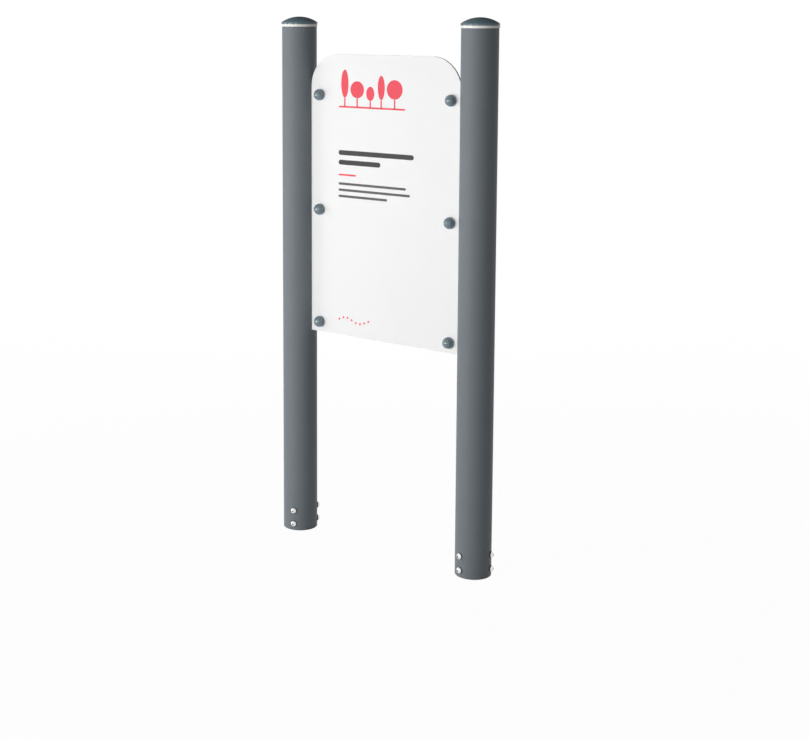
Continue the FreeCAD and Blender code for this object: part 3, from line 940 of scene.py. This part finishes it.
class PARKSIGN_OT_lugs(bpy.types.Operator):
    """Make the lugs that carry the board, each with its weld to the post"""

    bl_idname = "park_sign.lugs"
    bl_label = "Welded lugs"

    FREE_CORNERS = {"left": (1, 2), "right": (0, 3)}  # the two away from the post
    CORNER_STEPS = 12
    WELD_SIDES = 10
    WELD_RINGS = 6
    WELD_SQUASH = 0.75  # height of a ripple, against its width

    def weld(self, across, back, low, high, radius, pitch):
        """A bead of overlapping ripples in the corner between a lug's back and its post."""
        bm = bmesh.new()
        count = int((high - low - 2 * radius) / pitch)
        start = (low + high - count * pitch) / 2
        for ripple in range(count + 1):
            place = Matrix.Translation((across, back, start + ripple * pitch))
            bmesh.ops.create_uvsphere(
                bm,
                u_segments=self.WELD_SIDES,
                v_segments=self.WELD_RINGS,
                radius=radius,
                matrix=place @ Matrix.Diagonal((1, 1, self.WELD_SQUASH, 1)),
            )
        return bm

    def execute(self, context):
        sizes = context.scene.sign_sizes
        coat = bpy.data.materials["satin_powder_coat"]
        for side, row in FIXINGS:
            node = f"{side}_{row}_lug"
            low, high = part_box(node)
            bolt = middle(f"{side}_{row}_board_bolt")
            bm = bmesh.new()
            flat_shape(
                bm,
                rectangle(low.x, low.z, high.x, high.z),
                self.FREE_CORNERS[side],
                sizes.lug_corner,
                segments=self.CORNER_STEPS,
            )
            thicken(bm, low.y, high.y)
            soften(bm, sizes.lug_edge)
            bm = carve(bm, drills([(bolt.x, bolt.z)], sizes.lug_hole, low.y, high.y))
            post_side = low.x if side == "left" else high.x
            bead = self.weld(
                post_side, high.y, low.z, high.z, sizes.weld_radius, sizes.weld_pitch
            )
            add_piece(
                f"{side}_{row}_welded_lug", gather([bm, bead]), coat, [node]
            )
        return {"FINISHED"}


class PARKSIGN_OT_bolt_caps(bpy.types.Operator):
    """Make the domed caps over the bolts on the board's front, and finish their seats"""

    bl_idname = "park_sign.bolt_caps"
    bl_label = "Bolt caps"

    def execute(self, context):
        sizes = context.scene.sign_sizes
        colours = context.scene.sign_colours
        # Polyamide from a mirror-polished mould: dark, with strong sharp highlights
        finish = moulded_plastic(
            "moulded_gloss_polyamide",
            colours.bolt_cap,
            roughness=0.07,
            texture=0.4,
            shine=0.85,
        )
        # Black nylon from an etched mould: a weak broad highlight
        black = moulded_plastic(
            "moulded_black_nylon", colours.black_plastic, roughness=0.5, texture=0.5, shine=0.3
        )
        for side, row in FIXINGS:
            node = f"{side}_{row}_bolt_cap"
            low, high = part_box(node)
            radius = (high.x - low.x) / 2
            apex = high.y - low.y
            rise = apex - sizes.bolt_cap_lip
            ball = ball_radius(radius, rise)
            centre = apex - ball
            bore = radius - sizes.bolt_cap_wall
            inside = math.sqrt((ball - sizes.bolt_cap_wall) ** 2 - bore**2)
            section = [
                (0, apex - sizes.bolt_cap_wall),
                (bore, centre + inside, centre),
                (bore, 0),
                (radius, 0),
                (radius, sizes.bolt_cap_lip),
                (0, apex, centre),
            ]
            bm = turned(section)
            soften(bm, sizes.moulded_edge, segments=3)
            centre_line = middle(node)
            place = Matrix.Translation((centre_line.x, high.y, centre_line.z))
            move(bm, place @ OUT_OF_FRONT)
            add_piece(f"{side}_{row}_cap", bm, finish, [node])
            dress(f"{side}_{row}_cap_seat", black)
        return {"FINISHED"}


class PARKSIGN_OT_board_fasteners(bpy.types.Operator):
    """Make the washers and dome nuts behind the lugs, and finish the bolts"""

    bl_idname = "park_sign.board_fasteners"
    bl_label = "Board bolts, washers and nuts"

    CHAMFER = math.radians(30)
    FACE_SHARE = 0.97  # radius of the flat turned on a nut's hexagon, against half its width
    PRISM_REACH = 4  # length of the prism that gives a nut its flats, in nut heights

    def dome_nut(self, sizes, height):
        """A hexagon with turned corners, a neck, a dome and a blind bore, from its seat up."""
        half_width = sizes.nut_width / 2
        corner = sizes.nut_width / math.sqrt(3)
        flat = half_width * self.FACE_SHARE
        slope = (corner - flat) * math.tan(self.CHAMFER)
        shoulder = sizes.nut_hexagon
        lip = shoulder + sizes.nut_neck
        rise = height - lip
        ball = ball_radius(sizes.nut_crown, rise)
        section = [
            (0, sizes.nut_bore_depth),
            (sizes.nut_bore, sizes.nut_bore_depth),
            (sizes.nut_bore, 0),
            (flat, 0),
            (corner, slope),
            (corner, shoulder - slope),
            (flat, shoulder),
            (sizes.nut_crown, shoulder),
            (sizes.nut_crown, lip),
            (0, height, height - ball),
        ]
        blank = turned(section)
        prism = bmesh.new()
        bmesh.ops.create_cone(
            prism,
            cap_ends=True,
            segments=HEXAGON,
            radius1=corner,
            radius2=corner,
            depth=height * self.PRISM_REACH,
        )
        return carve(blank, prism, "INTERSECT")

    def execute(self, context):
        sizes = context.scene.sign_sizes
        steel = polished_stainless(context.scene.sign_colours.stainless)
        for side, row in FIXINGS:
            node = f"{side}_{row}_rear_washer"
            low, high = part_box(node)
            thickness = high.y - low.y
            radius = (high.x - low.x) / 2
            line = middle(node)
            section = [
                (sizes.washer_bore, 0),
                (radius, 0),
                (radius, thickness),
                (sizes.washer_bore, thickness),
            ]
            washer = turned(section, closed=True)
            soften(washer, sizes.steel_edge)
            backwards = Matrix.Rotation(math.pi, 4, "Z") @ OUT_OF_FRONT
            move(washer, Matrix.Translation((line.x, low.y, line.z)) @ backwards)
            add_piece(f"{side}_{row}_washer", washer, steel, [node])

            node = f"{side}_{row}_dome_nut"
            low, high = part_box(node)
            nut = self.dome_nut(sizes, high.y - low.y)
            move(nut, Matrix.Translation((line.x, low.y, line.z)) @ backwards)
            add_piece(f"{side}_{row}_nut", nut, steel, [node])
            dress(f"{side}_{row}_board_bolt", steel)
        return {"FINISHED"}


class PARKSIGN_OT_base_screws(bpy.types.Operator):
    """Make the button-head screws at the foot of each post, and finish their saddle washers"""

    bl_idname = "park_sign.base_screws"
    bl_label = "Base screws"

    COLUMNS = 3
    HEAD_LIP = 0.5 * MILLIMETRE

    def screw(self, sizes):
        """One screw along its own Z, measured from the post's axis."""
        crown = sizes.screw_seat + sizes.screw_rise
        lip = sizes.screw_seat + self.HEAD_LIP
        rise = crown - lip
        # The ball through the head's rim and its crown has its centre this far below the rim
        below = (sizes.screw_head**2 - sizes.screw_crown**2 - rise**2) / (2 * rise)
        section = [
            (0, sizes.screw_tip),
            (sizes.screw_shank - sizes.screw_point, sizes.screw_tip),
            (sizes.screw_shank, sizes.screw_tip + sizes.screw_point),
            (sizes.screw_shank, sizes.screw_seat),
            (sizes.screw_head, sizes.screw_seat),
            (sizes.screw_head, lip),
            (sizes.screw_crown, crown, lip - below),
        ]
        bm = turned(section)
        self.sink_socket(bm, sizes, crown)
        soften(bm, sizes.steel_edge)
        return bm

    def sink_socket(self, bm, sizes, crown):
        """Closes the head with a flat that has a hexagon socket sunk in it."""
        rim = [edge for edge in bm.edges if edge.is_boundary]
        bmesh.ops.create_circle(
            bm,
            segments=HEXAGON,
            radius=sizes.socket_width / math.sqrt(3),
            matrix=Matrix.Translation((0, 0, crown)),
        )
        sides = [edge for edge in bm.edges if edge.is_wire]
        bmesh.ops.subdivide_edges(bm, edges=sides, cuts=SMALL_STEPS // HEXAGON - 1)
        mouth = [edge for edge in bm.edges if edge.is_wire]
        bmesh.ops.bridge_loops(bm, edges=rim + mouth)
        mouth = [edge for edge in bm.edges if edge.is_boundary]
        made = bmesh.ops.extrude_edge_only(bm, edges=mouth)["geom"]
        floor = [item for item in made if isinstance(item, bmesh.types.BMVert)]
        walls = [item for item in made if isinstance(item, bmesh.types.BMFace)]
        bmesh.ops.translate(bm, vec=(0, 0, -sizes.socket_depth), verts=floor)
        closed = bmesh.ops.contextual_create(
            bm, geom=[edge for edge in bm.edges if edge.is_boundary]
        )
        # The socket's walls and floor take the darker steel: painted shade in the recess
        for face in walls + closed["faces"]:
            face.material_index = 1
        bmesh.ops.recalc_face_normals(bm, faces=bm.faces)

    def execute(self, context):
        sizes = context.scene.sign_sizes
        steel = bpy.data.materials["polished_stainless_steel"]
        pressed = shaded_socket_steel(context.scene.sign_colours.socket)
        black = bpy.data.materials["moulded_black_nylon"]
        outwards = Matrix.Rotation(math.pi / 2, 4, "Y")
        for side in SIDES:
            across = middle(f"{side}_post_tube").x
            first = sizes.screw_turn if side == "right" else math.pi - sizes.screw_turn
            screws = []
            for column in range(self.COLUMNS):
                turn = Matrix.Rotation(first + column * FULL_TURN / self.COLUMNS, 4, "Z")
                for up in (sizes.screw_low, sizes.screw_low + sizes.screw_pitch):
                    place = Matrix.Translation((across, 0, up)) @ turn @ outwards
                    screws.append(move(self.screw(sizes), place))
            node = f"{side}_base_screws"
            add_piece(
                f"{side}_button_screws", gather(screws), steel, [node], pressed
            )
            dress(f"{side}_base_washers", black)
        return {"FINISHED"}


class StudioSettings(bpy.types.PropertyGroup):
    """Camera and light of the studio."""

    camera_place: bpy.props.FloatVectorProperty(
        name="Camera place",
        description="Where the camera stands",
        default=(2.352804, -3.280707, 1.557039),
        subtype="TRANSLATION",
        unit="LENGTH",
    )
    camera_turn: angle("Camera turn", "How far the camera is turned to the left", 37.978)
    camera_tilt: angle("Camera tilt", "How far the camera looks down", 7.3123)
    camera_lens: number("Camera lens", "Focal length on a 36 mm sensor", 64.0126, unit="CAMERA")
    shift_x: bpy.props.FloatProperty(
        name="Shift across", description="Sideways shift of the lens", default=0.09626
    )
    shift_y: bpy.props.FloatProperty(
        name="Shift up", description="Upward shift of the lens", default=-0.21646
    )
    floor_colour: colour("Floor", "The studio floor", "#F4F4F4")
    floor_radius: length("Floor radius", "How far the floor reaches", 30000)
    floor_white: number("Floor white", "How far the floor goes white for the camera", 0.97)
    fill_strength: number("Fill strength", "Strength of the light from all round", 0.12)
    lamp_strength: number("Lamp strength", "Brightness of the softboxes", 7.5)


class PARKSIGN_OT_studio(bpy.types.Operator):
    """Set up the floor, the light and the camera"""

    bl_idname = "park_sign.studio"
    bl_label = "Studio"

    LAMPS = (  # name, azimuth from the front and elevation in degrees, width, height, brightness
        ("softbox_front", 13, 5, 1.0, 1.3, 1.0),
        ("softbox_left", -25, 1, 2.1, 2.0, 1.03),
        ("softbox_far_left", -64, -1, 1.1, 1.4, 1.03),
        ("softbox_behind", -144, -1, 1.6, 1.6, 2.2),
    )
    UNSEEN_LAMP = "softbox_behind"  # lights the back, and shows in no reflection
    LAMP_DISTANCE = 4.5
    SHADOW_REACH, SHADOW_END = 1.2, 4.0  # metres from the sign where the floor fades to white
    AIM = Vector((0, 0, 0.9))
    SENSOR_WIDTH = 36

    def seen(self, finish):
        """One for what the camera sees, directly or in a reflection, and nothing for the rest."""
        path = add_node(finish, "ShaderNodeLightPath").outputs
        rays = path["Is Camera Ray"]
        for name in ("Is Glossy Ray", "Is Transmission Ray"):
            either = add_node(
                finish, "ShaderNodeMath", {"operation": "MAXIMUM"}, {0: rays, 1: path[name]}
            )
            rays = either.outputs["Value"]
        return rays

    def add_floor(self, studio):
        """A pale floor that goes white, and keeps the sign's shadow."""
        finish, point = new_finish("studio_floor")
        reach = add_node(finish, "ShaderNodeVectorMath", {"operation": "LENGTH"}, {0: point})
        whiteness = add_node(
            finish,
            "ShaderNodeMapRange",
            sockets={
                "Value": reach.outputs["Value"],
                "From Min": self.SHADOW_REACH,
                "From Max": self.SHADOW_END,
                "To Min": studio.floor_white,
                "To Max": 1.0,
            },
        ).outputs["Result"]
        share = add_node(
            finish,
            "ShaderNodeMath",
            {"operation": "MULTIPLY"},
            {0: self.seen(finish), 1: whiteness},
        )
        pale = add_node(
            finish, "ShaderNodeBsdfDiffuse", sockets={"Color": (*studio.floor_colour, 1)}
        )
        white = add_node(finish, "ShaderNodeEmission", sockets={"Strength": 1.0})
        both = add_node(
            finish,
            "ShaderNodeMixShader",
            sockets={
                0: share.outputs["Value"],
                1: pale.outputs["BSDF"],
                2: white.outputs["Emission"],
            },
        )
        add_node(
            finish, "ShaderNodeOutputMaterial", sockets={"Surface": both.outputs["Shader"]}
        )
        bm = bmesh.new()
        bmesh.ops.create_circle(bm, cap_ends=True, segments=ROUND_STEPS, radius=studio.floor_radius)
        mesh = bpy.data.meshes.new("floor")
        bm.to_mesh(mesh)
        bm.free()
        mesh.materials.append(finish)
        floor = bpy.data.objects.new("floor", mesh)
        bpy.context.scene.collection.objects.link(floor)

    def add_world(self, studio):
        """Even fill light, and white where the camera or a reflection sees past the floor."""
        world = bpy.data.worlds.new("studio")
        bpy.context.scene.world = world
        world.use_nodes = True
        world.node_tree.nodes.clear()
        fill = add_node(
            world,
            "ShaderNodeBackground",
            sockets={"Color": (1, 1, 1, 1), "Strength": studio.fill_strength},
        )
        white = add_node(
            world, "ShaderNodeBackground", sockets={"Color": (1, 1, 1, 1), "Strength": 1.0}
        )
        chosen = add_node(
            world,
            "ShaderNodeMixShader",
            sockets={
                0: self.seen(world),
                1: fill.outputs["Background"],
                2: white.outputs["Background"],
            },
        )
        add_node(world, "ShaderNodeOutputWorld", sockets={"Surface": chosen.outputs["Shader"]})

    def add_lamps(self, studio):
        """Upright softboxes to the left of the camera, and one behind the sign."""
        for name, azimuth, elevation, width, height, brightness in self.LAMPS:
            lamp = bpy.data.lights.new(name, "AREA")
            lamp.shape = "RECTANGLE"
            lamp.size, lamp.size_y = width, height
            # A lamp's power is its brightness over its whole area, by pi
            lamp.energy = math.pi * width * height * studio.lamp_strength * brightness
            around, above = math.radians(azimuth), math.radians(elevation)
            away = Vector(
                (
                    math.sin(around) * math.cos(above),
                    -math.cos(around) * math.cos(above),
                    math.sin(above),
                )
            )
            holder = bpy.data.objects.new(name, lamp)
            holder.location = self.AIM + away * self.LAMP_DISTANCE
            holder.rotation_euler = away.to_track_quat("Z", "Y").to_euler()
            holder.visible_camera = holder.visible_glossy = name != self.UNSEEN_LAMP
            bpy.context.scene.collection.objects.link(holder)

    def add_camera(self, studio):
        """The camera of the main view."""
        camera = bpy.data.cameras.new("camera")
        camera.sensor_fit = "HORIZONTAL"
        camera.sensor_width = self.SENSOR_WIDTH
        camera.lens = studio.camera_lens
        camera.shift_x, camera.shift_y = studio.shift_x, studio.shift_y
        holder = bpy.data.objects.new("camera", camera)
        holder.location = studio.camera_place
        holder.rotation_euler = (math.pi / 2 - studio.camera_tilt, 0, studio.camera_turn)
        bpy.context.scene.collection.objects.link(holder)
        bpy.context.scene.camera = holder

    def execute(self, context):
        studio = context.scene.sign_studio
        context.scene.view_settings.view_transform = "Standard"
        self.add_floor(studio)
        self.add_world(studio)
        self.add_lamps(studio)
        self.add_camera(studio)
        return {"FINISHED"}


STEPS = (
    PARKSIGN_OT_posts,
    PARKSIGN_OT_collars,
    PARKSIGN_OT_domes,
    PARKSIGN_OT_board,
    PARKSIGN_OT_print,
    PARKSIGN_OT_lugs,
    PARKSIGN_OT_bolt_caps,
    PARKSIGN_OT_board_fasteners,
    PARKSIGN_OT_base_screws,
    PARKSIGN_OT_studio,
)


class PARKSIGN_PT_panel(bpy.types.Panel):
    """Lists the steps that build the sign, with its colours and sizes."""

    bl_label = "Park Interpretation Sign"
    bl_idname = "PARKSIGN_PT_panel"
    bl_space_type = "VIEW_3D"
    bl_region_type = "UI"
    bl_category = "Park Sign"

    def draw(self, context):
        for step in STEPS:
            self.layout.operator(step.bl_idname)
        for group in (
            context.scene.sign_colours,
            context.scene.sign_sizes,
            context.scene.sign_studio,
        ):
            box = self.layout.box()
            for name in group.__annotations__:
                box.prop(group, name)


GROUPS = {
    "sign_colours": SignColours,
    "sign_sizes": SignSizes,
    "sign_studio": StudioSettings,
}


def register():
    for cls in (*GROUPS.values(), *STEPS, PARKSIGN_PT_panel):
        bpy.utils.register_class(cls)
    for name, group in GROUPS.items():
        setattr(bpy.types.Scene, name, bpy.props.PointerProperty(type=group))


def unregister():
    for name in GROUPS:
        delattr(bpy.types.Scene, name)
    for cls in reversed((*GROUPS.values(), *STEPS, PARKSIGN_PT_panel)):
        bpy.utils.unregister_class(cls)


def main():
    register()
    for step in STEPS:
        family, name = step.bl_idname.split(".")
        getattr(getattr(bpy.ops, family), name)()


if __name__ == "__main__":
    main()
